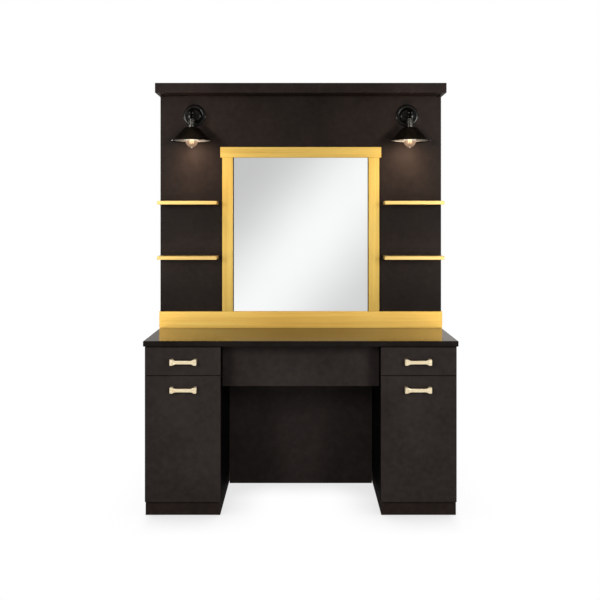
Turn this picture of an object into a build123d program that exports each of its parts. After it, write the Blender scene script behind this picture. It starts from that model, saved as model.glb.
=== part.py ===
"""Double sided salon station: one desk and one tall partition, with a styling place on each side.

Millimetres. X runs across the width, Y through the depth and Z up. The origin is on the floor at the
middle of the footprint. The front place looks along -Y, and the back place is its mirror image.
Left is -X and right is +X for both places, as seen by someone who stands in front.
"""

import os
from math import acos, atan2, cos, hypot, sin

from build123d import *

# Desk
station_width = 1528.0
station_depth = 1016.0
counter_height = 853.0
counter_thickness = 27.0
counter_edge_radius = 3.0
counter_front_overhang = 12.0
counter_side_overhang = 3.0
knee_width = 778.0
board = 19.0
plinth_height = 69.0
plinth_side_setback = 4.0
apron_height = 213.0
apron_setback = 74.0
rail_depth = 90.0
board_ease = 0.8

# Drawer and pull-out faces
face_thickness = 19.0
face_ease = 1.0
face_seat_gap = 1.5
face_side_reveal = 4.0
face_knee_reveal = 0.5
face_top_gap = 5.0
face_bottom_gap = 1.0
face_split_gap = 3.0
drawer_face_height = 136.0

# Drawer and pull-out boxes
box_rear_gap = 67.5
box_wall = 12.0
box_floor = 6.0
box_floor_lift = 8.0
drawer_box_clearance = 8.0
pullout_box_height = 380.0
pullout_box_lift = 10.0
pullout_runner_lift = 130.0

# Runners: a lipped channel on the cabinet, and a hat-shaped slide on the box
runner_space = 12.7
runner_metal = 1.5
channel_height = 36.0
channel_depth = 9.5
channel_lip = 4.5
channel_setback = 2.0
channel_rear_gap = 34.0
slide_setback = 3.0
slide_clearance = 0.5

# Handles: bar pulls whose ends flare to the height of the feet
handle_length = 129.0
handle_offset = 4.5
handle_foot_width = 15.0
handle_foot_height = 29.0
handle_projection = 27.0
handle_flare_length = 12.0
handle_flare_height = 26.0
handle_flare_depth = 12.0
handle_bar_height = 17.0
handle_bar_depth = 8.0
handle_bar_setback = 1.0
handle_round = 2.0
drawer_handle_drop = 70.0
pullout_handle_drop = 66.0

# Partition
station_height = 2161.0
partition_thickness = 51.0
partition_skin = 19.0
batten_width = 60.0

# Cornice: a hollow slab that overhangs the partition
cornice_thickness = 49.0
cornice_lip = 3.5
cornice_projection = 142.0
cornice_end_overhang = 4.0
cornice_fascia = 19.0
cornice_board = 16.0
cornice_ease = 1.5

# Gold trim
trim_thickness = 18.0
trim_ease = 0.8
baseboard_height = 89.0
baseboard_return = 3.5
stile_width = 58.0
mirror_width = 736.0
mirror_height = 835.0
head_height = 57.0
head_overhang = 10.5
mirror_glass = 5.0
mirror_rebate = 6.0

# Shelves
shelf_stile_gap = 22.0
shelf_depth = 105.0
shelf_thickness = 19.0
shelf_heights = (1246.0, 1540.0)

# Wall lamps
lamp_end_setback = 186.0
lamp_drop = 155.0
lamp_reach = 116.0
canopy_radius = 61.0
canopy_rim = 5.0
canopy_round = 3.0
canopy_step_radius = 41.0
canopy_step = 12.0
canopy_shoulder = 8.0
canopy_hub_radius = 13.0
canopy_hub = 8.0
arm_radius = 8.0
knuckle_radius = 17.0
knuckle_half_width = 14.5
knuckle_web = 4.0
pin_radius = 2.5
pin_head_radius = 6.0
pin_head = 2.0
pin_clearance = 0.05
tongue_thickness = 8.0
tongue_radius = 12.0
tongue_stem_width = 14.0
knuckle_side_clearance = 0.3
neck_gap = 5.0
neck_top_radius = 9.0
neck_radius = 16.5
neck_shoulder = 9.0
neck_length = 32.0
flute_count = 12
flute_radius = 1.7
flute_margin = 3.0
collar_radius = 18.5
collar_chamfer = 2.0
collar_height = 13.0
holder_radius = 16.0
holder_length = 27.0
wireway_radius = 9.0
shade_ring_width = 4.0
shade_ring_height = 5.0
shade_top_radius = 24.0
shade_shoulder_radius = 26.0
shade_rim_radius = 107.5
shade_height = 74.5
shade_metal = 1.2
shade_bead_radius = 1.8
bulb_radius = 32.0
bulb_glass = 1.2
bulb_drop = 7.0
bulb_neck_radius = 13.0
bulb_neck_length = 8.0
bulb_cap_length = 18.0
bulb_cap_clearance = 0.3
bulb_pip_radius = 3.0
bulb_pip_drop = 1.0

# Places that follow from the sizes above
counter_underside = counter_height - counter_thickness
knee_half = knee_width / 2
cabinet_outer = station_width / 2 - counter_side_overhang
cabinet_inner = knee_half
bay_inner = cabinet_inner + board
bay_outer = cabinet_outer - board
runner_sides = ((bay_inner, 1), (bay_outer, -1))
face_front = station_depth / 2 - counter_front_overhang
face_back = face_front - face_thickness
carcass_front = face_back - face_seat_gap
face_inner_x = cabinet_inner + face_knee_reveal
face_outer_x = cabinet_outer - face_side_reveal
face_top = counter_underside - face_top_gap
drawer_face_bottom = face_top - drawer_face_height
pullout_face_top = drawer_face_bottom - face_split_gap
pullout_face_bottom = plinth_height + face_bottom_gap
mid_rail_height = (drawer_face_bottom + pullout_face_top) / 2
box_inner_x = bay_inner + runner_space
box_outer_x = bay_outer - runner_space
box_rear = board / 2 + box_rear_gap
handle_x = (face_inner_x + face_outer_x) / 2 - handle_offset
handle_half = handle_length / 2

partition_half = station_width / 2
partition_face = partition_thickness / 2
chase_half = partition_face - partition_skin
partition_top = station_height - cornice_thickness
cornice_half = partition_half + cornice_end_overhang
cornice_front = partition_face + cornice_projection
trim_front = partition_face + trim_thickness
baseboard_top = counter_height + baseboard_height
stile_inner = mirror_width / 2
stile_outer = stile_inner + stile_width
head_half = stile_outer + head_overhang
head_bottom = baseboard_top + mirror_height
head_top = head_bottom + head_height
shelf_inner = stile_outer + shelf_stile_gap

lamp_x = partition_half - lamp_end_setback
lamp_pivot_height = station_height - lamp_drop
slot_half = tongue_thickness / 2 + knuckle_side_clearance
neck_top = -(knuckle_radius + neck_gap)
neck_bottom = neck_top - neck_shoulder - neck_length
collar_bottom = neck_bottom - collar_height
holder_bottom = collar_bottom - holder_length
shade_rim = collar_bottom - shade_height
bulb_centre = holder_bottom - bulb_neck_length - bulb_radius - bulb_drop

FACES = {"front": 1, "back": -1}
SIDES = {"left": -1, "right": 1}


def block(x_span, y_span, z_span):
    """A plain board that fills three spans."""
    spans = (x_span, y_span, z_span)
    middle = [(low + high) / 2 for low, high in spans]
    return Pos(*middle) * Box(*[high - low for low, high in spans])


def eased(shape, amount):
    """The board with every edge taken off a little."""
    return chamfer(shape.edges(), amount)


def placed(shape, face, side="right"):
    """A shape made for the front right place, mirrored to another one."""
    if FACES[face] < 0:
        shape = mirror(shape, about=Plane.XZ)
    if SIDES[side] < 0:
        shape = mirror(shape, about=Plane.YZ)
    return shape


def on_all_faces_and_sides(shapes):
    return [placed(shape, face, side) for face in FACES for side in SIDES for shape in shapes]


def on_both_faces(shapes):
    return [placed(shape, face) for face in FACES for shape in shapes]


def on_both_sides(shapes):
    return [placed(shape, "front", side) for side in SIDES for shape in shapes]


def write(node, shapes):
    solids = [solid for shape in shapes for solid in shape.solids()]
    whole = solids[0] if len(solids) == 1 else Compound(children=solids)
    export_step(whole, f"parts/{node}.step")


# Desk


def countertop():
    top = block(
        (-station_width / 2, station_width / 2),
        (-station_depth / 2, station_depth / 2),
        (counter_underside, counter_height),
    )
    return [fillet(top.edges(), counter_edge_radius)]


def cabinet_sides():
    depth = (-carcass_front, carcass_front)
    height = (plinth_height, counter_underside)
    inner = block((cabinet_inner, bay_inner), depth, height)
    outer = block((bay_outer, cabinet_outer), depth, height)
    return [eased(inner, board_ease), eased(outer, board_ease)]


def cabinet_floor():
    depth = (-carcass_front, carcass_front)
    return [block((bay_inner, bay_outer), depth, (plinth_height, plinth_height + board))]


def cabinet_divider():
    return [
        block(
            (bay_inner, bay_outer),
            (-board / 2, board / 2),
            (plinth_height + board, counter_underside),
        )
    ]


def cabinet_rails():
    width = (bay_inner, bay_outer)
    depth = (-carcass_front, rail_depth - carcass_front)
    top = block(width, depth, (counter_underside - board, counter_underside))
    middle = block(width, depth, (mid_rail_height - board / 2, mid_rail_height + board / 2))
    return [top, middle]


def plinth():
    """A ladder of five boards under one cabinet, front and back in one."""
    inner = cabinet_inner + plinth_side_setback
    outer = cabinet_outer - plinth_side_setback
    width = (inner + board, outer - board)
    height = (0, plinth_height)
    depth = (-carcass_front, carcass_front)
    kicks = [
        block(width, (-carcass_front, board - carcass_front), height),
        block(width, (carcass_front - board, carcass_front), height),
        block(width, (-board / 2, board / 2), height),
    ]
    runs = [
        block((inner, inner + board), depth, height),
        block((outer - board, outer), depth, height),
    ]
    return kicks + runs


def apron():
    front = carcass_front - apron_setback
    panel = block(
        (-knee_half, knee_half),
        (-front, board - front),
        (counter_underside - apron_height, counter_underside),
    )
    return [eased(panel, board_ease)]


def modesty_panel():
    return [block((-knee_half, knee_half), (-board / 2, board / 2), (0, counter_underside))]


# Runners, drawer boxes and faces


def runner_strip(side, reach, height):
    """One leg of a runner's section: reach runs from the cabinet side towards the box."""
    side_x, outward = side
    near, far = sorted(side_x + outward * distance for distance in reach)
    low, high = sorted(height)
    return Pos((near + far) / 2, (low + high) / 2) * Rectangle(far - near, high - low)


def channel_section(side):
    """Lipped channel, its web on the cabinet side and its mouth towards the box."""
    half = channel_height / 2
    section = runner_strip(side, (0, runner_metal), (-half, half))
    for up in (-1, 1):
        flange = (up * half, up * (half - runner_metal))
        lip = (up * half, up * (half - runner_metal - channel_lip))
        section += runner_strip(side, (0, channel_depth), flange)
        section += runner_strip(side, (channel_depth - runner_metal, channel_depth), lip)
    return section


def slide_section(side):
    """Hat-shaped slide, its crown on the box and its brims inside the channel."""
    brim = channel_height / 2 - runner_metal - slide_clearance
    crown = channel_height / 2 - runner_metal - channel_lip - slide_clearance
    near = runner_metal + slide_clearance
    section = runner_strip(side, (runner_space - runner_metal, runner_space), (-crown, crown))
    for up in (-1, 1):
        wall = (up * crown, up * (crown - runner_metal))
        edge = (up * (crown - runner_metal), up * brim)
        section += runner_strip(side, (near, runner_space), wall)
        section += runner_strip(side, (near, near + runner_metal), edge)
    return section


def along_depth(section, height, start, length):
    """Runs a section, drawn in X and Z, from start towards the middle of the desk."""
    plane = Plane(origin=(0, start, height), x_dir=(1, 0, 0), z_dir=(0, -1, 0))
    return extrude(plane * section, -length)


def runner_heights():
    drawer_low, drawer_high = box_heights("drawer")
    pullout_low = box_heights("pullout")[0]
    return {"drawer": (drawer_low + drawer_high) / 2, "pullout": pullout_low + pullout_runner_lift}


def cabinet_channels():
    start = channel_setback - carcass_front
    length = -board / 2 - channel_rear_gap - start
    channels = []
    for height in runner_heights().values():
        for side in runner_sides:
            channels.append(along_depth(channel_section(side), height, start, length))
    return channels


def box_heights(kind):
    """Lowest and highest point of a box."""
    if kind == "drawer":
        low = mid_rail_height + board / 2 + drawer_box_clearance
        return low, counter_underside - board - drawer_box_clearance
    low = plinth_height + board + pullout_box_lift
    return low, low + pullout_box_height


def storage_box(kind):
    """Open-topped box of five boards, with its two slides."""
    low, high = box_heights(kind)
    front, rear = -face_back, -box_rear
    inner, outer = box_inner_x + box_wall, box_outer_x - box_wall
    walls = [
        block((box_inner_x, inner), (front, rear), (low, high)),
        block((outer, box_outer_x), (front, rear), (low, high)),
        block((inner, outer), (front, front + box_wall), (low, high)),
        block((inner, outer), (rear - box_wall, rear), (low, high)),
        block(
            (inner, outer),
            (front + box_wall, rear - box_wall),
            (low + box_floor_lift, low + box_floor_lift + box_floor),
        ),
    ]
    slides = []
    for side in runner_sides:
        start = front + slide_setback
        slides.append(along_depth(slide_section(side), runner_heights()[kind], start, rear - start))
    return walls + slides


def face_heights(kind):
    if kind == "drawer":
        return drawer_face_bottom, face_top
    return pullout_face_bottom, pullout_face_top


def storage_face(kind):
    panel = block((face_inner_x, face_outer_x), (-face_front, -face_back), face_heights(kind))
    return [eased(panel, face_ease)]


def handle_height(kind):
    drops = {"drawer": drawer_handle_drop, "pullout": pullout_handle_drop}
    return face_heights(kind)[1] - drops[kind]


def handle():
    """Bar pull about its own middle, with its feet on the plane y = 0 and its bar towards -Y."""
    foot_inner = handle_half - handle_foot_width
    bar_end = foot_inner - handle_flare_length
    bar_front = handle_projection - handle_bar_setback

    def section(x, height, depth):
        plane = Plane(origin=(x, depth / 2 - bar_front, 0), x_dir=(0, 1, 0), z_dir=(1, 0, 0))
        return plane * RectangleRounded(depth, height, handle_round)

    bar = extrude(section(-bar_end, handle_bar_height, handle_bar_depth), 2 * bar_end)
    for way in (-1, 1):
        foot = block(
            sorted((way * foot_inner, way * handle_half)),
            (-handle_projection, 0),
            (-handle_foot_height / 2, handle_foot_height / 2),
        )
        on_face = foot.faces().sort_by(Axis.Y)[-1].edges()
        foot = fillet(foot.edges() - on_face, handle_round)
        flare = loft(
            [
                section(way * bar_end, handle_bar_height, handle_bar_depth),
                section(way * foot_inner, handle_flare_height, handle_flare_depth),
            ]
        )
        bar = bar + flare + foot
    return bar


def storage_handle(kind):
    return [Pos(handle_x, -face_front, handle_height(kind)) * handle()]


# Partition, cornice and trim


def partition_panel():
    panel = block(
        (-partition_half, partition_half),
        (-partition_face, -chase_half),
        (counter_height, partition_top),
    )
    return [panel]


def partition_frame():
    """Battens that hold the two skins apart, at the ends and behind the mirror's stiles."""
    thickness = (-chase_half, chase_half)
    height = (counter_height, partition_top)
    edges = [-partition_half, -stile_outer, stile_outer - batten_width, partition_half - batten_width]
    battens = [block((edge, edge + batten_width), thickness, height) for edge in edges]
    rails = []
    for left, right in zip(edges, edges[1:]):
        for low in (counter_height, partition_top - batten_width):
            rails.append(block((left + batten_width, right), thickness, (low, low + batten_width)))
    return battens + rails


def cornice_boards():
    """Soffit and top board, set inside the fascia."""
    width = (cornice_fascia - cornice_half, cornice_half - cornice_fascia)
    depth = (cornice_fascia - cornice_front, cornice_front - cornice_fascia)
    soffit = block(width, depth, (partition_top, partition_top + cornice_board))
    top = block(width, depth, (station_height - cornice_board, station_height))
    return [soffit, top]


def cornice_fascias():
    """Four boards round the cornice, mitred at its corners, that hang a little below the soffit."""
    bottom = partition_top - cornice_lip
    notch = block(
        (-partition_half, partition_half), (-partition_face, partition_face), (bottom, partition_top)
    )

    def mitred(long_half, short_half):
        inner_long, inner_short = long_half - cornice_fascia, short_half - cornice_fascia
        outline = [(-long_half, -short_half), (long_half, -short_half), (inner_long, -inner_short)]
        plan = make_face(Polyline(*outline, (-inner_long, -inner_short), close=True))
        fascia = extrude(Plane.XY.offset(bottom) * plan, station_height - bottom)
        outside = fascia.faces().sort_by(Axis.Y)[0].edges().filter_by(Axis.X)
        return chamfer(outside, cornice_ease)

    front = mitred(cornice_half, cornice_front)
    end = Rot(0, 0, 90) * mitred(cornice_front, cornice_half) - notch
    return on_both_faces([front]) + on_both_sides([end])


def baseboard():
    skirting = block(
        (-partition_half - baseboard_return, partition_half + baseboard_return),
        (-trim_front, -partition_face),
        (counter_height, baseboard_top),
    )
    return [eased(skirting, trim_ease)]


def baseboard_end():
    return [
        block(
            (partition_half, partition_half + baseboard_return),
            (-partition_face, partition_face),
            (counter_height, baseboard_top),
        )
    ]


def mirror_stile():
    """Upright of the mirror's frame, rebated behind for the glass."""
    stile = block(
        (stile_inner, stile_outer), (-trim_front, -partition_face), (baseboard_top, head_bottom)
    )
    rebate = block(
        (stile_inner, stile_inner + mirror_rebate),
        (-partition_face - mirror_glass, -partition_face),
        (baseboard_top, head_bottom),
    )
    return [eased(stile, trim_ease) - rebate]


def mirror_head():
    """Head of the mirror's frame, rebated behind for the top of the glass."""
    head = block((-head_half, head_half), (-trim_front, -partition_face), (head_bottom, head_top))
    rebate = block(
        (-stile_inner - mirror_rebate, stile_inner + mirror_rebate),
        (-partition_face - mirror_glass, -partition_face),
        (head_bottom, head_bottom + mirror_rebate),
    )
    return [eased(head, trim_ease) - rebate]


def mirror_pane():
    return [
        block(
            (-stile_inner - mirror_rebate, stile_inner + mirror_rebate),
            (-partition_face - mirror_glass, -partition_face),
            (baseboard_top, head_bottom + mirror_rebate),
        )
    ]


def shelves():
    """The two shelves on the right of one face."""
    made = []
    for top in shelf_heights:
        shelf = block(
            (shelf_inner, partition_half),
            (-partition_face - shelf_depth, -partition_face),
            (top - shelf_thickness, top),
        )
        made.append(eased(shelf, trim_ease))
    return made


# Wall lamps: made about the pivot of the knuckle, with the partition on the +Y side


def on_pivot(shape):
    return Pos(lamp_x, -(partition_face + lamp_reach), lamp_pivot_height) * shape


def turned(profile):
    """A closed profile of radius and height, turned about the lamp's upright axis."""
    return revolve(Plane.XZ * profile, Axis.Z)


def lamp_canopy():
    """Round wall plate in two steps, with a hub for the arm."""
    wall = lamp_reach
    rim = wall - canopy_rim
    step = rim - canopy_step
    hub = step - canopy_hub
    outline = [
        (0, wall),
        (canopy_radius, wall),
        (canopy_radius, rim + canopy_round),
        (canopy_radius - canopy_round, rim),
        (canopy_step_radius, rim),
        (canopy_step_radius - canopy_shoulder, step),
        (canopy_hub_radius, step),
        (canopy_hub_radius - canopy_round / 2, hub),
        (0, hub),
    ]
    return revolve(make_face(Polyline(*outline, close=True)), Axis.Y)


def lamp_arm():
    """Arm that ends in a slotted round knuckle."""
    hub = lamp_reach - canopy_rim - canopy_step - canopy_hub
    rod = Pos(0, hub / 2, 0) * Rot(90, 0, 0) * Cylinder(arm_radius, hub)
    knuckle = Sphere(knuckle_radius) & Box(
        2 * knuckle_half_width, 2 * knuckle_radius, 2 * knuckle_radius
    )
    slot = block(
        (-slot_half, slot_half),
        (-knuckle_radius, knuckle_radius - knuckle_web),
        (-knuckle_radius, knuckle_radius),
    )
    hole = Rot(0, 90, 0) * Cylinder(pin_radius, 2 * knuckle_radius)
    return (rod + knuckle) - slot - hole


def lamp_pin():
    """Pin through the knuckle, with a head on each cheek."""
    pin = Rot(0, 90, 0) * Cylinder(pin_radius, 2 * knuckle_half_width)
    for way in (-1, 1):
        middle = way * (knuckle_half_width + pin_head / 2)
        pin += Pos(middle, 0, 0) * Rot(0, 90, 0) * Cylinder(pin_head_radius, pin_head)
    return pin


def lamp_socket():
    """Tongue, fluted neck, collar and lamp holder in one turned piece."""
    cap_top = holder_bottom + bulb_cap_length
    cap_radius = bulb_neck_radius + bulb_cap_clearance
    outline = [
        (0, neck_top),
        (neck_top_radius, neck_top),
        (neck_radius, neck_top - neck_shoulder),
        (neck_radius, neck_bottom),
        (collar_radius - collar_chamfer / 2, neck_bottom),
        (collar_radius, neck_bottom - collar_chamfer),
        (collar_radius, collar_bottom),
        (holder_radius, collar_bottom),
        (holder_radius, holder_bottom),
        (cap_radius, holder_bottom),
        (cap_radius, cap_top),
        (wireway_radius, cap_top),
        (wireway_radius, neck_top - neck_shoulder),
        (0, neck_top - neck_shoulder),
    ]
    body = turned(make_face(Polyline(*outline, close=True)))
    flute_top = neck_top - neck_shoulder - flute_margin
    flute_bottom = neck_bottom + flute_margin
    flute = Pos(neck_radius, 0, (flute_top + flute_bottom) / 2) * Cylinder(
        flute_radius, flute_top - flute_bottom
    )
    body -= [Rot(0, 0, 360 / flute_count * index) * flute for index in range(flute_count)]
    tongue = Rot(0, 90, 0) * Cylinder(tongue_radius, tongue_thickness)
    stem = block(
        (-tongue_thickness / 2, tongue_thickness / 2),
        (-tongue_stem_width / 2, tongue_stem_width / 2),
        (neck_top - neck_shoulder / 2, 0),
    )
    hole = Rot(0, 90, 0) * Cylinder(pin_radius + pin_clearance, 2 * tongue_thickness)
    return (body + tongue + stem) - hole


def shade_ring():
    """Ring that holds the shade up against the collar."""
    top = collar_bottom - shade_metal
    ring = Cylinder(holder_radius + shade_ring_width, shade_ring_height)
    ring -= Cylinder(holder_radius, shade_ring_height)
    return Pos(0, 0, top - shade_ring_height / 2) * ring


def shade_profile():
    """Half section of the shade: flat top, round shoulder, straight cone and rolled rim."""
    centre = (shade_top_radius, collar_bottom - shade_shoulder_radius)
    rim = (shade_rim_radius - shade_bead_radius, shade_rim + shade_bead_radius)
    reach = hypot(rim[0] - centre[0], rim[1] - centre[1])
    bearing = atan2(rim[1] - centre[1], rim[0] - centre[0])
    turn = bearing + acos(shade_shoulder_radius / reach)
    normal = (cos(turn), sin(turn))

    def skin(inset):
        """Top edge, shoulder start, shoulder middle, shoulder end and rim of one side."""
        radius = shade_shoulder_radius - inset
        half = (turn + atan2(1, 0)) / 2
        return [
            (holder_radius, collar_bottom - inset),
            (shade_top_radius, collar_bottom - inset),
            (centre[0] + radius * cos(half), centre[1] + radius * sin(half)),
            (centre[0] + radius * normal[0], centre[1] + radius * normal[1]),
            (rim[0] - inset * normal[0], rim[1] - inset * normal[1]),
        ]

    outer, inner = skin(0), skin(shade_metal)
    edges = [Line(outer[0], inner[0]), Line(outer[4], inner[4])]
    for points in (outer, inner):
        edges.append(Line(points[0], points[1]))
        edges.append(ThreePointArc(points[1], points[2], points[3]))
        edges.append(Line(points[3], points[4]))
    bead = Pos(*rim) * Circle(shade_bead_radius)
    return make_face(edges) + bead


def lamp_shade():
    return turned(shade_profile())


def lamp_bulb():
    """Hollow globe that draws in to its neck and screw cap, with the pip of the glass below."""
    cap_top = holder_bottom + bulb_cap_length
    neck_height = holder_bottom - bulb_neck_length

    def envelope(inset):
        """Turned solid of the globe, neck and cap, inset from the outside of the glass."""
        globe = bulb_radius - inset
        neck = bulb_neck_radius - inset
        rise = neck_height - bulb_centre
        turn = atan2(rise, neck) - acos(globe / hypot(neck, rise))
        middle = (turn - atan2(1, 0)) / 2
        bottom = (0, bulb_centre - globe)

        def on_globe(angle):
            return (globe * cos(angle), bulb_centre + globe * sin(angle))

        outline = [
            ThreePointArc(bottom, on_globe(middle), on_globe(turn)),
            Line(on_globe(turn), (neck, neck_height)),
            Polyline((neck, neck_height), (neck, cap_top), (0, cap_top), bottom),
        ]
        return turned(make_face(outline))

    pip = Pos(0, 0, bulb_centre - bulb_radius - bulb_pip_drop) * Sphere(bulb_pip_radius)
    return envelope(0) + pip - envelope(bulb_glass)


def main():
    os.makedirs("parts", exist_ok=True)

    write("countertop", countertop())
    for side in SIDES:
        write(f"{side}_cabinet_sides", [placed(part, "front", side) for part in cabinet_sides()])
    write("cabinet_floors", on_both_sides(cabinet_floor()))
    write("cabinet_dividers", on_both_sides(cabinet_divider()))
    write("cabinet_rails", on_all_faces_and_sides(cabinet_rails()))
    write("cabinet_runners", on_all_faces_and_sides(cabinet_channels()))
    write("plinths", on_both_sides(plinth()))
    write("aprons", on_both_faces(apron()))
    write("modesty_panel", modesty_panel())

    for face in FACES:
        for side in SIDES:
            for kind in ("drawer", "pullout"):
                name = f"{face}_{side}_{kind}"
                write(f"{name}_face", [placed(part, face, side) for part in storage_face(kind)])
                write(f"{name}_box", [placed(part, face, side) for part in storage_box(kind)])
                write(f"{name}_handle", [placed(part, face, side) for part in storage_handle(kind)])

    for face in FACES:
        write(f"partition_{face}", [placed(part, face) for part in partition_panel()])
        write(f"shelves_{face}", [placed(part, face, side) for side in SIDES for part in shelves()])
    write("partition_frame", partition_frame())
    write("cornice_boards", cornice_boards())
    write("cornice_fascias", cornice_fascias())
    write("baseboards", on_both_faces(baseboard()))
    write("baseboard_ends", on_both_sides(baseboard_end()))
    write("mirror_stiles", on_all_faces_and_sides(mirror_stile()))
    write("mirror_heads", on_both_faces(mirror_head()))
    write("mirror_panes", on_both_faces(mirror_pane()))

    write("lamp_canopies", on_all_faces_and_sides([on_pivot(lamp_canopy())]))
    write("lamp_arms", on_all_faces_and_sides([on_pivot(lamp_arm()), on_pivot(lamp_pin())]))
    moving = {
        "socket": [on_pivot(lamp_socket()), on_pivot(shade_ring())],
        "shade": [on_pivot(lamp_shade())],
        "bulb": [on_pivot(lamp_bulb())],
    }
    for face in FACES:
        for side in SIDES:
            for piece, shapes in moving.items():
                write(f"{face}_{side}_lamp_{piece}", [placed(part, face, side) for part in shapes])


main()
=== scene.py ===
"""Looks of the double sided salon station: finishes, lit bulbs, camera and soft studio light."""

from math import cos, pi, sin

import bmesh
import bpy
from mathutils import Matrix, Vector


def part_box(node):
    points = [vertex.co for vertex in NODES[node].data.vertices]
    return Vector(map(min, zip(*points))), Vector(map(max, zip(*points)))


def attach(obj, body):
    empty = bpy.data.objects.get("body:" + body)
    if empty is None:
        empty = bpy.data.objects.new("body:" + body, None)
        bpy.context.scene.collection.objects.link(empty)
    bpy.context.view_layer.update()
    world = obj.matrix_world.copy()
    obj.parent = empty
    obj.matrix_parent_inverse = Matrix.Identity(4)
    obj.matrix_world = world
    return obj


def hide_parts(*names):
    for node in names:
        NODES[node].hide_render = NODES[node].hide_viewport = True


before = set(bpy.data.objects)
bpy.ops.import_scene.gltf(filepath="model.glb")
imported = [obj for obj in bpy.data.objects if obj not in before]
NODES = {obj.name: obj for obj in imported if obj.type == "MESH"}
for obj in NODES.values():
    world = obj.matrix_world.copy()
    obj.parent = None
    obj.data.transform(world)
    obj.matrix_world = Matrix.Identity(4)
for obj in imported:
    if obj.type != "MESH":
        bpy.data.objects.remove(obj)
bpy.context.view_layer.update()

FACES = {"front": -1, "back": 1}         # which way each face of the station looks along Y
SIDES = {"left": -1, "right": 1}         # which way each side lies along X
LAMPS = [(face, side) for face in FACES for side in SIDES]

# ---------------------------------------------------------------- camera

PICTURE = 600                            # pixels along each side of the picture
FOCAL = 794.7                            # focal length in those pixels
SENSOR = 36.0
CAMERA_PLACE = (0.0, -4.353, 1.448)
SHIFT = (-0.00126, -0.13637)


def make_camera():
    """The photograph's camera: level, square to the front, with its frame shifted down."""
    data = bpy.data.cameras.new("camera")
    data.sensor_width = SENSOR
    data.lens = FOCAL / PICTURE * SENSOR
    data.shift_x, data.shift_y = SHIFT
    camera = bpy.data.objects.new("camera", data)
    camera.location = CAMERA_PLACE
    camera.rotation_euler = (pi / 2, 0, 0)
    bpy.context.scene.collection.objects.link(camera)
    bpy.context.scene.camera = camera


make_camera()

# ---------------------------------------------------------------- node helpers

NOISE_SPAN = (0.3, 0.7)                  # where nearly all values of a noise lie
TONE_PLACES = {2: (0.35, 0.65), 3: (0.34, 0.5, 0.66)}     # where so many tones stand in that span


def linear(red, green, blue):
    """A colour as a screen shows it, 0 to 255, as Blender's linear RGBA."""

    def channel(value):
        value /= 255
        return value / 12.92 if value <= 0.04045 else ((value + 0.055) / 1.055) ** 2.4

    return (channel(red), channel(green), channel(blue), 1.0)


def drawn_out(axis, squeeze=0.02):
    """The stretch that draws a noise out along one axis, as a brush does."""
    return tuple(squeeze if letter == axis else 1 for letter in "xyz")


class Nodes:
    """A node tree, with short calls to add and join nodes."""

    def __init__(self, tree):
        self.tree = tree

    def add(self, kind, **settings):
        node = self.tree.nodes.new(kind)
        for key, value in settings.items():
            setattr(node, key, value)
        return node

    def join(self, source, target):
        """Links a socket, or sets the target to a plain value."""
        if isinstance(source, (int, float, tuple)):
            target.default_value = source
        else:
            self.tree.links.new(source, target)

    def maths(self, operation, *values):
        node = self.add("ShaderNodeMath", operation=operation)
        for value, socket in zip(values, node.inputs):
            self.join(value, socket)
        return node.outputs["Value"]

    def split(self, vector):
        node = self.add("ShaderNodeSeparateXYZ")
        self.join(vector, node.inputs["Vector"])
        return node.outputs["X"], node.outputs["Y"], node.outputs["Z"]

    def ramp(self, factor, stops, interpolation="LINEAR"):
        """A colour ramp through stops of (position, colour)."""
        node = self.add("ShaderNodeValToRGB")
        node.color_ramp.interpolation = interpolation
        elements = node.color_ramp.elements
        while len(elements) < len(stops):
            elements.new(0.5)
        for element, (position, colour) in zip(elements, stops):
            element.position = position
            element.color = colour
        self.join(factor, node.inputs["Fac"])
        return node.outputs["Color"]

    def span(self, value, start, end, low=0.0, high=1.0):
        """The value, taken from start..end to low..high."""
        node = self.add("ShaderNodeMapRange")
        limits = {"From Min": start, "From Max": end, "To Min": low, "To Max": high}
        for name, limit in limits.items():
            node.inputs[name].default_value = limit
        self.join(value, node.inputs["Value"])
        return node.outputs["Result"]

    def mix(self, factor, first, second, way="MIX"):
        """Two colours put together. Of Mix's sockets, 0, 6, 7 and 2 are the ones for colours."""
        node = self.add("ShaderNodeMix", data_type="RGBA", blend_type=way)
        for source, place in ((factor, 0), (first, 6), (second, 7)):
            self.join(source, node.inputs[place])
        return node.outputs[2]

    def blend(self, factor, first, second):
        """One shader mixed into another."""
        node = self.add("ShaderNodeMixShader")
        for source, socket in zip((factor, first, second), node.inputs):
            self.join(source, socket)
        return node.outputs["Shader"]


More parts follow.
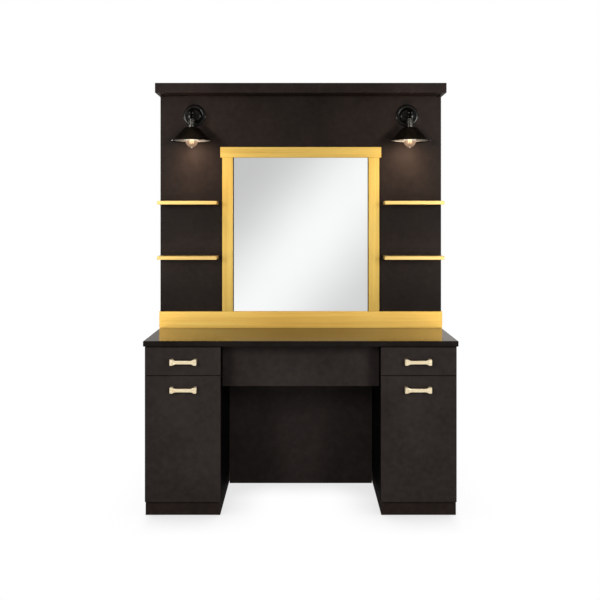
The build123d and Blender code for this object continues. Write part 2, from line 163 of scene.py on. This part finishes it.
class Finish(Nodes):
    """A material round one Principled shader."""

    def __init__(self, name, **constants):
        self.material = bpy.data.materials.new(name)
        self.material.use_nodes = True
        super().__init__(self.material.node_tree)
        self.shader = self.tree.nodes["Principled BSDF"]
        self.output = self.tree.nodes["Material Output"]
        self.coords = self.add("ShaderNodeTexCoord")
        for socket, value in constants.items():
            self.shader.inputs[socket.replace("_", " ")].default_value = value

    def to(self, socket, source):
        self.join(source, self.shader.inputs[socket])

    def surface(self, shader):
        self.join(shader, self.output.inputs["Surface"])

    def place(self):
        """X, Y and Z in the object's own metres."""
        return self.split(self.coords.outputs["Object"])

    def noise(self, scale, stretch=(1, 1, 1), detail=3.0, roughness=0.55):
        """Noise in those metres: scale is in features to a metre, stretched along an axis."""
        mapping = self.add("ShaderNodeMapping")
        mapping.inputs["Scale"].default_value = stretch
        self.join(self.coords.outputs["Object"], mapping.inputs["Vector"])
        node = self.add("ShaderNodeTexNoise")
        node.inputs["Scale"].default_value = scale
        node.inputs["Detail"].default_value = detail
        node.inputs["Roughness"].default_value = roughness
        self.join(mapping.outputs["Vector"], node.inputs["Vector"])
        return node.outputs["Fac"]

    def sum(self, *parts):
        """Weighted sum of (weight, factor) parts."""
        total = 0.0
        for weight, factor in parts:
            total = self.maths("MULTIPLY_ADD", factor, weight, total)
        return total

    def paint(self, factor, tones):
        """Base colour that runs through two or three tones with a noise."""
        self.to("Base Color", self.ramp(factor, list(zip(TONE_PLACES[len(tones)], tones))))

    def repaint(self, where, colour):
        """Another base colour where the factor is 1."""
        under = self.shader.inputs["Base Color"].links[0].from_socket
        self.to("Base Color", self.mix(where, under, colour))

    def rough(self, factor, low, high):
        """Roughness that runs from low to high with a noise."""
        self.to("Roughness", self.span(factor, *NOISE_SPAN, low, high))

    def bump(self, height, strength, distance):
        node = self.add("ShaderNodeBump")
        node.inputs["Strength"].default_value = strength
        node.inputs["Distance"].default_value = distance
        self.join(height, node.inputs["Height"])
        self.to("Normal", node.outputs["Normal"])


# ---------------------------------------------------------------- finishes

ESPRESSO = (linear(32, 27, 24), linear(40, 34, 32), linear(48, 42, 39))
# darker copies of the same laminate, painted shade: the partition's panels and the trim, darkened for how
# light falls on them
ESPRESSO_PANEL_SHADED = (linear(24, 19, 16), linear(31, 25, 22), linear(37, 31, 27))
ESPRESSO_TRIM_SHADED = (linear(27, 22, 19), linear(35, 28, 25), linear(42, 35, 31))
COUNTER = (linear(19, 16, 14), linear(26, 22, 20), linear(33, 29, 26))
MATT = (0.4, 0.52)                       # roughness of the laminate, from and to
POLISHED = (0.12, 0.18)                  # and of the countertop's
# painted shade: near-black for the sides that face the knee space, where shade falls
KNEE_PAINTED_SHADE = linear(1, 1, 1)
SIDE_SKIN = 0.0012                       # depth of the side's skin past the end of the modesty panel, which takes the painted shade

GOLD = (linear(190, 150, 62), linear(207, 170, 79), linear(219, 187, 96))
# lighter copies of the same gold, painted light: the baseboards and the shelves' fronts, brightened for the
# light that falls on them
GOLD_BASE_LIT = (linear(231, 180, 77), linear(251, 202, 97), linear(255, 218, 115))
GOLD_SHELF_LIT = (linear(200, 164, 88), linear(216, 181, 105), linear(227, 195, 122))
CHAMPAGNE = (linear(244, 219, 177), linear(255, 242, 208))
GUNMETAL = (linear(38, 37, 35), linear(64, 62, 58))
ZINC = (linear(150, 152, 154), linear(205, 206, 208))
MELAMINE = (linear(206, 204, 198), linear(232, 231, 226))
SLIDE_REACH = 0.0107                     # how far a slide stands out from its box
TONGUE_HEIGHT = 0.034                    # of a socket's top, which stands in the knuckle

SILVER = (linear(249, 251, 250), linear(252, 253, 253))
# painted shade: the frame's shadow and dark reflection along the pane's sides
FRAME_SHADOW_TONE = linear(48, 42, 36)
MIRROR_REBATE = 0.006                    # how much of the pane's side the frame covers
FRAME_SHADOW_WIDTH = 0.0045                     # width of the painted shadow and dark reflection of the frame's side, which show beside it

NEAR_BLACK = linear(4, 4, 3)
ENAMEL_HAZE = linear(13, 11, 9)
SHADE_WHITE = linear(150, 145, 137)
RIM_BLACK_HEIGHT = 0.0052                      # height of the black at the rim: the rolled rim's own black, and a band of painted shade just inside above it

BULB_TINT = (linear(60, 48, 38), linear(84, 70, 56))
BULB_GLOW = [                            # light that the glass seems to give, from the pip to the cap
    (0.0, linear(240, 226, 214)), (0.03, linear(226, 210, 194)), (0.06, linear(122, 102, 84)),
    (0.2, linear(138, 114, 92)), (0.34, linear(172, 142, 114)), (0.46, linear(255, 250, 234)),
    (0.6, linear(255, 250, 234)),
]
GLASS_BODY = (0.55, 1.0)                 # how solid the glass looks, face on and at its outline
GLASS_RIM = 0.35
FILAMENT_HEAT = (linear(255, 190, 110), linear(255, 226, 170))
FILAMENT_GLOW = 5.0


def laminate(name, tones, roughness, specular):
    """Dark laminate: soft clouds, a finer mottle and a suede-like press texture."""
    m = Finish(name, Specular_IOR_Level=specular)
    clouds = m.noise(3.2, detail=4.0)
    mottle = m.noise(34.0, detail=3.0)
    suede = m.noise(1400.0, detail=2.0)
    m.paint(m.sum((0.5, clouds), (0.34, mottle), (0.16, suede)), tones)
    m.rough(m.sum((0.6, mottle), (0.4, clouds)), *roughness)
    m.bump(suede, strength=0.22, distance=0.0002)
    return m


def knee_shaded_laminate():
    """The cabinets' laminate, with painted shade: near-black where a side faces the knee space."""
    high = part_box("modesty_panel")[1]
    m = laminate("knee_shaded_laminate", ESPRESSO, MATT, 0.045)
    out = m.maths("ABSOLUTE", m.place()[0])
    # painted shade on the sides that face the knee space
    m.repaint(m.maths("LESS_THAN", out, high[0] + SIDE_SKIN), KNEE_PAINTED_SHADE)
    return m


def brushed_gold(name, along, tones=GOLD):
    """Gold-faced laminate, brushed along one axis: coarse streaks over a hair-fine grain."""
    stretch = drawn_out(along, 0.012)
    m = Finish(name, Metallic=0.55, Specular_IOR_Level=0.5, Coat_Weight=0.25, Coat_Roughness=0.3)
    streaks = m.noise(95.0, stretch, detail=3.0, roughness=0.6)
    hairs = m.noise(1500.0, stretch, detail=2.0)
    sheen = m.noise(1.7, detail=1.0)
    m.paint(m.sum((0.42, streaks), (0.2, hairs), (0.38, sheen)), tones)
    m.rough(m.sum((0.5, streaks), (0.5, hairs)), 0.3, 0.44)
    m.bump(hairs, strength=0.25, distance=0.00012)
    return m


def mirror_glass():
    """Silvered glass, with a hairline of painted shade down its sides: the frame's shadow and dark
    reflection.
    """
    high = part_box("mirror_panes")[1]
    m = Finish("mirror_glass", Metallic=1.0)
    inside = m.maths("SUBTRACT", high[0] - MIRROR_REBATE, m.maths("ABSOLUTE", m.place()[0]))
    haze = m.noise(2.5, detail=2.0)
    m.to("Base Color", m.ramp(haze, list(zip(NOISE_SPAN, SILVER))))
    # paints the frame's shadow and dark reflection as a dark hairline
    m.repaint(m.maths("LESS_THAN", inside, FRAME_SHADOW_WIDTH), FRAME_SHADOW_TONE)
    m.rough(haze, 0.0, 0.003)
    return m


def champagne_metal():
    """Satin champagne plate, brushed along the bar."""
    m = Finish("champagne_metal", Metallic=0.45, Specular_IOR_Level=0.6)
    hairs = m.noise(900.0, drawn_out("x"), detail=2.0)
    cast = m.noise(60.0, detail=2.0)
    m.paint(m.sum((0.5, hairs), (0.5, cast)), CHAMPAGNE)
    m.rough(hairs, 0.2, 0.3)
    m.bump(hairs, strength=0.15, distance=0.0001)
    return m


def black_enamel(name):
    """Gloss black, with the slight ripple of a sprayed coat."""
    m = Finish(name, Specular_IOR_Level=0.17)
    ripple = m.noise(260.0, detail=2.0)
    haze = m.noise(20.0, detail=2.0)
    m.to("Base Color", m.mix(m.span(haze, 0.35, 0.7), NEAR_BLACK, ENAMEL_HAZE))
    m.rough(haze, 0.14, 0.24)
    m.bump(ripple, strength=0.06, distance=0.0002)
    return m


def shade_enamel():
    """Black enamel outside, white enamel inside: told apart by which way the skin faces. Just inside the rim
    the black runs a little higher, as painted shade.
    """
    low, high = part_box("front_right_lamp_shade")
    axis = [abs(low[i] + high[i]) / 2 for i in range(2)]
    m = black_enamel("shade_enamel")
    x, y, z = m.place()
    nx, ny, nz = m.split(m.coords.outputs["Normal"])
    facing = 0.0
    for place, normal, centre in ((x, nx, axis[0]), (y, ny, axis[1])):
        out = m.maths("SUBTRACT", m.maths("ABSOLUTE", place), centre)
        outward = m.maths("MULTIPLY", normal, m.maths("SIGN", place))
        facing = m.maths("MULTIPLY_ADD", out, outward, facing)
    inward = m.maths("LESS_THAN", facing, 0.0)
    below = m.maths("LESS_THAN", nz, -0.9)
    # the rolled rim stays black, and the black runs on inside it as painted shade
    above_rim_black = m.maths("GREATER_THAN", z, low[2] + RIM_BLACK_HEIGHT)
    m.repaint(m.maths("MULTIPLY", m.maths("MAXIMUM", inward, below), above_rim_black), SHADE_WHITE)
    return m


def two_tone(name, tones, roughness, metallic=0.0, scale=400.0, stretch=(1, 1, 1)):
    """A plain finish with a fine speckle or grain between two tones."""
    m = Finish(name, Metallic=metallic)
    grain = m.noise(scale, stretch, detail=2.0)
    broad = m.noise(12.0, detail=2.0)
    m.paint(m.sum((0.6, grain), (0.4, broad)), tones)
    m.rough(grain, roughness - 0.06, roughness + 0.06)
    m.bump(grain, strength=0.1, distance=0.0001)
    return m


def lamp_socket():
    """Polished gunmetal, with the tongue that stands in the knuckle blackened."""
    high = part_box("front_right_lamp_socket")[1]
    m = two_tone("lamp_socket", GUNMETAL, 0.16, metallic=1.0, scale=700.0)
    m.repaint(m.maths("GREATER_THAN", m.place()[2], high[2] - TONGUE_HEIGHT), NEAR_BLACK)
    return m


def drawer_box():
    """White melamine boards, with zinc-plated slides along the outside."""
    low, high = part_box("front_right_drawer_box")
    m = two_tone("drawer_box", MELAMINE, 0.42)
    x = m.maths("ABSOLUTE", m.place()[0])
    inner = m.maths("LESS_THAN", x, low[0] + SLIDE_REACH)
    outer = m.maths("GREATER_THAN", x, high[0] - SLIDE_REACH)
    slide = m.maths("MAXIMUM", inner, outer)
    grain = m.noise(500.0, drawn_out("y"))
    m.repaint(slide, m.ramp(grain, list(zip(TONE_PLACES[2], ZINC))))
    m.to("Metallic", slide)
    return m


def bulb_glass():
    """Warm clear glass, lit from inside: brightest just under the shade, and again at its pip."""
    low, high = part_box("front_right_lamp_bulb")
    m = Finish("bulb_glass", Specular_IOR_Level=0.5, IOR=1.45, Emission_Strength=1.0)
    swirl = m.noise(90.0, detail=2.0)
    m.to("Base Color", m.ramp(swirl, list(zip(NOISE_SPAN, BULB_TINT))))
    m.rough(swirl, 0.04, 0.09)
    m.to("Emission Color", m.ramp(m.span(m.place()[2], low[2], high[2]), BULB_GLOW))
    clear = m.add("ShaderNodeBsdfTransparent").outputs[0]
    facing = m.add("ShaderNodeLayerWeight")
    facing.inputs["Blend"].default_value = GLASS_RIM
    body = m.span(facing.outputs["Facing"], 0.0, 1.0, *GLASS_BODY)
    seen = m.blend(body, clear, m.shader.outputs[0])
    m.surface(m.blend(m.add("ShaderNodeLightPath").outputs["Is Shadow Ray"], seen, clear))
    return m


def filament_glow():
    """White-hot wire."""
    m = Finish("filament_glow", Emission_Strength=FILAMENT_GLOW)
    heat = m.noise(300.0, detail=1.0)
    m.to("Emission Color", m.ramp(heat, list(zip(NOISE_SPAN, FILAMENT_HEAT))))
    return m


FINISHES = {
    # the laminate in its plain tones, and in darker copies that paint shade on the partition and the trim
    "laminate": laminate("espresso_laminate", ESPRESSO, MATT, 0.07),
    "laminate_high": laminate("espresso_laminate_high", ESPRESSO_PANEL_SHADED, MATT, 0.05),
    "laminate_trim": laminate("espresso_laminate_trim", ESPRESSO_TRIM_SHADED, MATT, 0.05),
    "knee_side": knee_shaded_laminate(),
    "counter": laminate("espresso_counter", COUNTER, POLISHED, 0.06),
    "gold_head": brushed_gold("gold_head", "x"),
    "gold_base": brushed_gold("gold_base", "x", GOLD_BASE_LIT),
    "gold_upright": brushed_gold("gold_upright", "z"),
    "gold_shelf": brushed_gold("gold_shelf", "x", GOLD_SHELF_LIT),
    "gold_end": brushed_gold("gold_end", "y"),
    "mirror": mirror_glass(),
    "champagne": champagne_metal(),
    "black": black_enamel("black_enamel"),
    "shade": shade_enamel(),
    "socket": lamp_socket(),
    "box": drawer_box(),
    "zinc": two_tone("zinc_steel", ZINC, 0.32, metallic=1.0, stretch=drawn_out("y")),
    "bulb": bulb_glass(),
    "filament": filament_glow(),
}

BY_NODE = {
    "countertop": "counter",
    "partition_front": "laminate_high",
    "partition_back": "laminate_high",
    "partition_frame": "laminate_high",
    "cornice_boards": "laminate_trim",
    "cornice_fascias": "laminate_trim",
    "plinths": "laminate_trim",
    "left_cabinet_sides": "knee_side",
    "right_cabinet_sides": "knee_side",
    "baseboards": "gold_base",
    "baseboard_ends": "gold_end",
    "mirror_heads": "gold_head",
    "mirror_stiles": "gold_upright",
    "shelves_front": "gold_shelf",
    "shelves_back": "gold_shelf",
    "mirror_panes": "mirror",
    "cabinet_runners": "zinc",
    "lamp_canopies": "black",
    "lamp_arms": "black",
}
BY_ENDING = {"handle": "champagne", "box": "box", "shade": "shade", "socket": "socket", "bulb": "bulb"}


def finish_of(node):
    """The finish of a node: by its name, by the name's last word, or the plain laminate."""
    return BY_NODE.get(node) or BY_ENDING.get(node.rsplit("_", 1)[-1], "laminate")


for node, item in NODES.items():
    item.data.materials.clear()
    item.data.materials.append(FINISHES[finish_of(node)].material)

# ---------------------------------------------------------------- pieces


def new_object(name, shape):
    """An object in the scene, from a bmesh."""
    mesh = bpy.data.meshes.new(name)
    shape.to_mesh(mesh)
    shape.free()
    item = bpy.data.objects.new(name, mesh)
    bpy.context.scene.collection.objects.link(item)
    return item


def new_piece(name, shape, finish, body):
    """A smooth object with its finish, riding on a body."""
    piece = new_object(name, shape)
    piece.data.polygons.foreach_set("use_smooth", [True] * len(piece.data.polygons))
    piece.data.materials.append(FINISHES[finish].material)
    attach(piece, body)
    return piece


def bridge(shape, ring, following):
    """A band of faces between two rings of a bmesh."""
    count = len(ring)
    for index in range(count):
        after = (index + 1) % count
        shape.faces.new((ring[index], ring[after], following[after], following[index]))


# ---------------------------------------------------------------- canopies

PANEL_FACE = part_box("partition_back")[1][1]
MM = 0.001
CANOPY_SEGMENTS = 96
CANOPY_PROFILE = [               # millimetres from the middle and off the partition: rim, groove, dome, hub
    (61.0, 0.0), (61.0, 1.2), (60.6, 2.1), (59.6, 3.1), (57.8, 4.0), (55.0, 4.6), (51.0, 4.95),
    (47.0, 4.9), (43.6, 4.3), (41.9, 3.2), (41.0, 2.9), (40.9, 4.8), (39.8, 6.6), (38.0, 9.4),
    (35.8, 12.4), (33.2, 14.8), (30.0, 16.0), (25.0, 16.7), (19.0, 17.0), (13.4, 17.0), (13.0, 17.3),
    (13.0, 23.4), (12.7, 24.4), (11.6, 24.9), (8.0, 25.0),
]


def add_canopy(shape, centre, way):
    """Adds a closed plate to a bmesh: the profile turned about the line off the partition."""
    angles = [2 * pi * step / CANOPY_SEGMENTS for step in range(CANOPY_SEGMENTS)]
    rings = []
    for radius, height in CANOPY_PROFILE:
        radius, height = radius * MM, way * height * MM
        points = (Vector((radius * cos(angle), height, radius * sin(angle))) for angle in angles)
        rings.append([shape.verts.new(centre + point) for point in points])
    for ring, following in zip(rings, rings[1:]):
        bridge(shape, ring, following)
    for end in (rings[0], rings[-1]):
        shape.faces.new(end)


def make_canopies():
    """The lamps' wall plates, with the soft rounds of a spun plate."""
    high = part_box("lamp_canopies")[1]
    radius = CANOPY_PROFILE[0][0] * MM
    shape = bmesh.new()
    for face, side in LAMPS:
        x = SIDES[side] * (high[0] - radius)
        add_canopy(shape, Vector((x, FACES[face] * PANEL_FACE, high[2] - radius)), FACES[face])
    bmesh.ops.recalc_face_normals(shape, faces=shape.faces[:])
    canopies = new_piece("spun_canopies", shape, "black", "station")
    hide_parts("lamp_canopies")


# ---------------------------------------------------------------- lit bulbs

BULB_PIP = 0.004                 # how far the pip reaches below the globe
FILAMENT_LOOPS = 6
FILAMENT_STEPS = 16              # points to a loop
FILAMENT_SIDES = 8
FILAMENT_RADIUS = 0.0007
FILAMENT_HALF_HEIGHT = 0.012
FILAMENT_REACH = 0.0095          # how far the wire stands off the bulb's axis at half its height
FILAMENT_LEAN = 0.0015           # and how much nearer it stands at its top
LAMP_COLOUR = (1.0, 0.77, 0.58)
LAMP_SIZE = 0.012
INNER_POWER = 0.03
WASH_ASIDE = 0.002               # how far towards the middle of the station the washes hang
WASHES = {                       # metres off the panel and below the bulb, lean and spread in radians, watts
    "near": (0.11, 0.018, 0.3, 2.6, 2.4),
    "wide": (0.25, 0.02, 0.9, 2.2, 4.25),
    "halo": (0.35, -0.05, 0.0, 2.8, 3.8),
}


def swept(points, radius, sides):
    """A closed ring of tube along points."""
    shape = bmesh.new()
    rings = []
    count = len(points)
    angles = [2 * pi * side / sides for side in range(sides)]
    for index, point in enumerate(points):
        turn = (points[(index + 1) % count] - points[index - 1]).to_track_quat("Z", "Y")
        section = (turn @ Vector((radius * cos(angle), radius * sin(angle), 0)) for angle in angles)
        rings.append([shape.verts.new(point + corner) for corner in section])
    for index, ring in enumerate(rings):
        bridge(shape, ring, rings[(index + 1) % count])
    return shape


def filament(centre):
    """Hairpin loops of wire that stand round the bulb's axis, joined into one ring."""
    points = []
    steps = FILAMENT_LOOPS * FILAMENT_STEPS
    for step in range(steps):
        angle = 2 * pi * step / steps
        rise = sin(angle * FILAMENT_LOOPS)
        out = FILAMENT_REACH - rise * FILAMENT_LEAN
        height = rise * FILAMENT_HALF_HEIGHT
        points.append(centre + Vector((out * cos(angle), out * sin(angle), height)))
    return swept(points, FILAMENT_RADIUS, FILAMENT_SIDES)


def new_light(name, kind, power, place, way=None):
    """A light in the scene, looking one way."""
    data = bpy.data.lights.new(name, kind)
    data.energy = power
    light = bpy.data.objects.new(name, data)
    bpy.context.scene.collection.objects.link(light)
    light.location = place
    if way is not None:
        light.rotation_euler = way.to_track_quat("-Z", "Y").to_euler()
    return light


def lamp_light(name, kind, power, place, parent, way=None):
    """A warm light that moves with the lamp's filament."""
    light = new_light(name, kind, power, place, way)
    light.data.color = LAMP_COLOUR
    light.data.shadow_soft_size = LAMP_SIZE
    light.parent = parent
    return light


def light_up(face, side):
    """The filament of one lamp, its glow inside the shade and its washes on the partition."""
    lamp = f"{face}_{side}_lamp"
    low, high = (Vector(corner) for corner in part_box(f"{lamp}_bulb"))
    radius = (high.x - low.x) / 2
    centre = Vector(((low.x + high.x) / 2, (low.y + high.y) / 2, low.z + BULB_PIP + radius))
    wire = new_piece(f"{lamp}_filament", filament(centre), "filament", f"{lamp}_head")
    lamp_light(f"{lamp}_inner", "POINT", INNER_POWER, centre, wire)
    for wash, (reach, drop, lean, spread, power) in WASHES.items():
        x = centre.x - SIDES[side] * WASH_ASIDE
        place = Vector((x, FACES[face] * (PANEL_FACE + reach), low.z - drop))
        way = Vector((0, -FACES[face] * cos(lean), -sin(lean)))
        light = lamp_light(f"{lamp}_{wash}_wash", "SPOT", power, place, wire, way)
        light.data.spot_size = spread
        light.data.spot_blend = 1.0
        light.visible_glossy = False


make_canopies()
for face, side in LAMPS:
    light_up(face, side)

# ---------------------------------------------------------------- studio

AMBIENT = 0.2
PALE = (255, 255, 255)
WARM_DARK = (120, 104, 84)
SLANT = (0.752, -0.659)          # how the studio's tone, as a mirror sees it, runs over X and Z
STUDIO_TONES = [
    (-1.0, 228), (-0.4, 222), (-0.2, 204), (-0.086, 200), (-0.036, 223), (0.012, 250),
    (0.063, 244), (0.112, 217), (0.2, 210), (0.45, 238), (1.0, 228),
]
SIDE_TONES = [                   # and how metal sees it dimmed, away from the middle and overhead
    (0.0, PALE), (0.12, PALE), (0.17, (250, 243, 236)), (0.36, (246, 238, 230)),
    (0.5, (120, 114, 110)), (0.7, (110, 105, 100)), (0.78, PALE), (0.96, PALE),
]
CEILING_TONES = [(0.0, PALE), (0.35, PALE), (0.6, WARM_DARK), (1.0, WARM_DARK)]

FLOOR_RADIUS = 6.5
FLOOR_SEGMENTS = 96
FLOOR_DROP = 0.0005              # how far it lies below the plinths, so that they don't flicker together
FLOOR_COLOUR = (0.42, 0.42, 0.42, 1.0)
CONTACT_REACH = 0.25
CONTACT_SAMPLES = 16
CONTACT_SHADE = (0.48, 0.98, 0.23, 0.0)      # occlusion from and to, and the shade that it gives
CONTACT_FADE = (0.72, 0.78, 1.0, 0.2)        # across the station's ends, where the shade is fainter

DESK_AIM = (0.0, 0.0, 1.1)
LAMP_AIM = (0.5, 0.0, 1.85)
SHELF_AIM = (0.6, 0.0, 1.24)
SOFTBOXES = {                    # how far out, forward and up, side in metres, watts, aim, spread in radians
    "front_middle": ((2.2, 3.2, 1.9), 0.9, 57.7, DESK_AIM, pi),
    "front_low": ((1.6, 2.9, 0.5), 0.6, 9.6, DESK_AIM, pi),
    "front_sheen": ((1.67, 3.03, 0.5), 0.6, 2.8, DESK_AIM, pi),
    "front_high": ((1.9, 2.9, 2.5), 0.9, 4.0, DESK_AIM, pi),
    "side_low": ((1.25, 0.6, 1.2), 0.3, 0.45, SHELF_AIM, 0.9),
    "side_high": ((1.15, 0.45, 1.95), 0.12, 0.3, LAMP_AIM, 1.2),
}
DULL_SOFTBOX = "front_low"       # the one that gloss doesn't show, because it flares in the baseboards


def tone_stops(table):
    return [(place, linear(*tone)) for place, tone in table]


def make_world():
    """White to the eye, even on the object, softly banded in mirrors and darker to metal's sides."""
    world = bpy.data.worlds.new("studio")
    bpy.context.scene.world = world
    world.use_nodes = True
    n = Nodes(world.node_tree)
    n.tree.nodes.clear()
    path = n.add("ShaderNodeLightPath").outputs
    x, _, z = n.split(n.add("ShaderNodeTexCoord").outputs["Generated"])
    slant = n.maths("MULTIPLY_ADD", z, SLANT[1], n.maths("MULTIPLY", x, SLANT[0]))
    bands = tone_stops(((place + 1) / 2, (tone,) * 3) for place, tone in STUDIO_TONES)
    banded = n.ramp(n.span(slant, -1, 1), bands, "CARDINAL")
    across = n.ramp(n.maths("ABSOLUTE", x), tone_stops(SIDE_TONES))
    upward = n.ramp(z, tone_stops(CEILING_TONES))
    in_metal = n.mix(1.0, n.mix(1.0, banded, across, "MULTIPLY"), upward, "MULTIPLY")
    reflection = n.mix(path["Is Singular Ray"], in_metal, banded)
    shaders = []
    for colour, strength in ((linear(*PALE), AMBIENT), (reflection, 1.0), (linear(*PALE), 1.0)):
        background = n.add("ShaderNodeBackground")
        n.join(colour, background.inputs["Color"])
        n.join(strength, background.inputs["Strength"])
        shaders.append(background.outputs[0])
    ambient, reflected, plain = shaders
    seen = n.maths("MAXIMUM", path["Is Camera Ray"], path["Is Transmission Ray"])
    lit = n.blend(path["Is Glossy Ray"], ambient, reflected)
    n.join(n.blend(seen, lit, plain), n.add("ShaderNodeOutputWorld").inputs["Surface"])


def make_floor():
    """Floor that is white to the eye and in mirrors, but for the plinths' soft contact shadow."""
    shape = bmesh.new()
    bmesh.ops.create_circle(shape, cap_ends=True, segments=FLOOR_SEGMENTS, radius=FLOOR_RADIUS)
    floor = new_object("floor", shape)
    floor.location.z = -FLOOR_DROP
    m = Finish("floor", Base_Color=FLOOR_COLOUR, Roughness=0.9, Specular_IOR_Level=0.0)
    contact = m.add("ShaderNodeAmbientOcclusion", samples=CONTACT_SAMPLES)
    contact.inputs["Distance"].default_value = CONTACT_REACH
    shade = m.span(contact.outputs["AO"], *CONTACT_SHADE)
    fade = m.span(m.maths("ABSOLUTE", m.place()[0]), *CONTACT_FADE)
    white = m.add("ShaderNodeEmission")
    m.join(m.maths("SUBTRACT", 1.0, m.maths("MULTIPLY", shade, fade)), white.inputs["Strength"])
    path = m.add("ShaderNodeLightPath").outputs
    seen = m.maths("MAXIMUM", path["Is Camera Ray"], path["Is Singular Ray"])
    m.surface(m.blend(seen, m.shader.outputs[0], white.outputs[0]))
    floor.data.materials.append(m.material)


def make_softboxes():
    """The same softboxes round each corner of the station."""
    for name, (place, size, power, aim, spread) in SOFTBOXES.items():
        for face, side in LAMPS:
            corner = Vector((SIDES[side], FACES[face], 1))
            start, end = (Vector(point) * corner for point in (place, aim))
            light = new_light(f"{face}_{side}_{name}", "AREA", power, start, end - start)
            light.data.size = size
            light.data.spread = spread
            light.visible_camera = False
            light.visible_glossy = name != DULL_SOFTBOX


make_world()
make_floor()
make_softboxes()

bpy.context.scene.view_settings.view_transform = "Standard"
